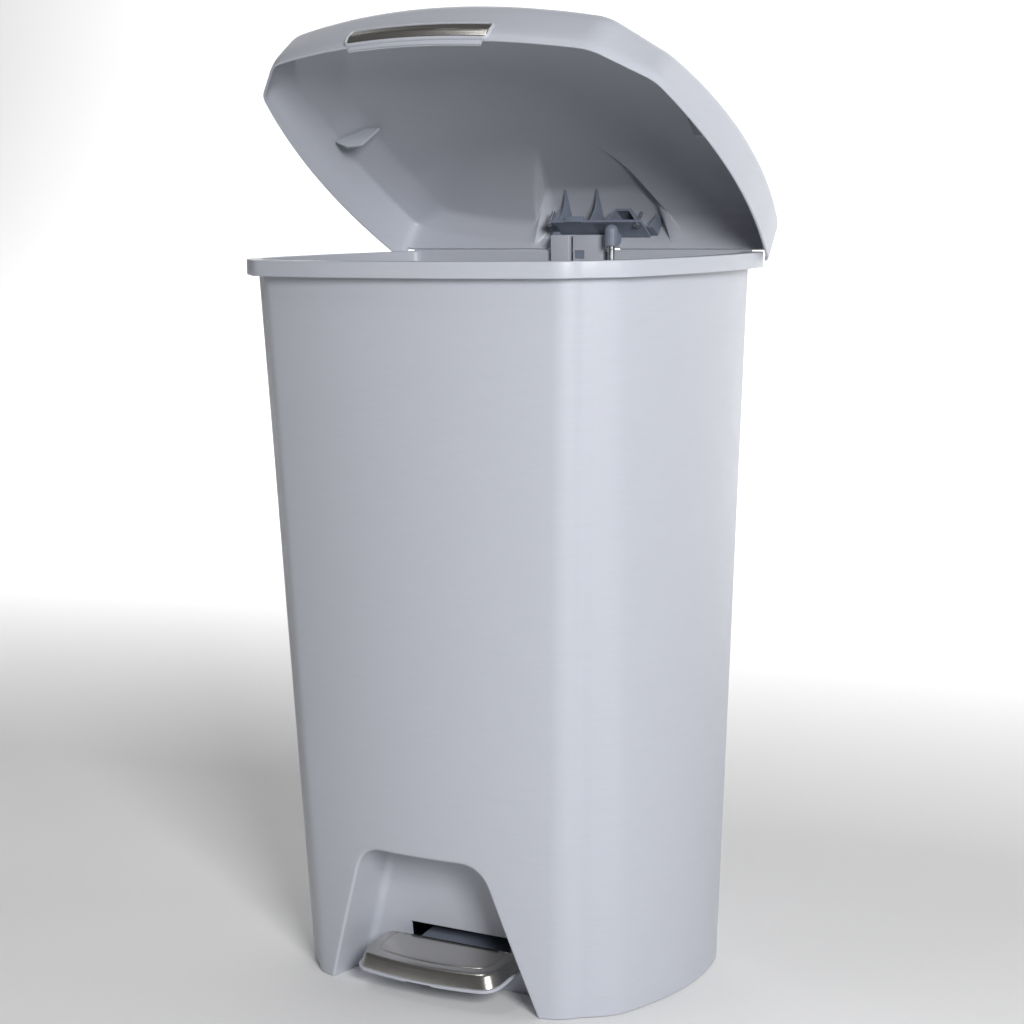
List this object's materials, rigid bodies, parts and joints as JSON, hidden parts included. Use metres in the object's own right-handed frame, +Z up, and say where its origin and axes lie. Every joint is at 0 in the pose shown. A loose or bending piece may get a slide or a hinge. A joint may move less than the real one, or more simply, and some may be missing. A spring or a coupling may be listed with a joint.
{
  "type": "pedal trash can",
  "caption": "Tapered step-on kitchen trash can with a domed hinged lid, a foot pedal in a front toe recess and a push rod up the rear wall.",
  "frame": {"origin": "on the floor, under the middle of the bounding box with the lid open as modelled", "axes": "+Z up, the front with the pedal faces -Y, +X to the right as seen from the front"},
  "size_m": [0.408, 0.3046, 0.7946],
  "materials": {
    "grey_plastic": "satin moulded polypropylene, cool light grey",
    "slate_plastic": "satin moulded plastic, dark blue grey",
    "brushed_steel": "brushed stainless sheet",
    "rod_steel": "drawn zinc-plated wire",
    "screw_steel": "zinc-plated screw"
  },
  "bodies": {
    "bin": {"bin_body": "grey_plastic", "base_plate": "slate_plastic", "base_screw_1": "screw_steel", "base_screw_2": "screw_steel", "base_screw_3": "screw_steel", "base_screw_4": "screw_steel", "pedal_axle": "rod_steel", "axle_clip_left": "slate_plastic", "axle_clip_right": "slate_plastic", "rod_guide_lower": "slate_plastic", "rod_guide_upper": "slate_plastic", "channel_cover": "grey_plastic", "hinge_block_left": "grey_plastic", "hinge_block_right": "grey_plastic", "hinge_latch": "slate_plastic", "hinge_pin": "rod_steel"},
    "lid": {"lid_shell": "grey_plastic", "lid_bracket": "slate_plastic", "bracket_screw_1": "screw_steel", "bracket_screw_2": "screw_steel", "lid_fin_left": "grey_plastic", "lid_fin_right": "grey_plastic", "handle_surround": "grey_plastic", "handle_trim": "brushed_steel"},
    "pedal": {"pedal_lever": "slate_plastic", "pedal_tread": "grey_plastic", "pedal_cover": "brushed_steel"},
    "rod": {"push_rod": "rod_steel", "rod_foot": "slate_plastic", "rod_head": "slate_plastic"}
  },
  "joints": [
    {"name": "lid_hinge", "type": "hinge", "parent": "bin", "child": "lid", "pos_m": [0, 0.13406, 0.6097], "axis": [-1, 0, 0], "range_deg": [-36.4, 12]},
    {"name": "pedal_pivot", "type": "hinge", "parent": "bin", "child": "pedal", "pos_m": [0, -0.00034, 0.03], "axis": [1, 0, 0], "range_deg": [-9.3, 3.1]},
    {"name": "rod_slide", "type": "slide", "parent": "bin", "child": "rod", "axis": [0, 0.0317, 0.9995], "range_m": [-0.01505, 0.00505]}
  ],
  "couplings": [
    {"joint": "pedal_pivot", "follows": "lid_hinge", "ratio": 0.25203},
    {"joint": "rod_slide", "follows": "lid_hinge", "m_per_rad": 0.0235}
  ]
}
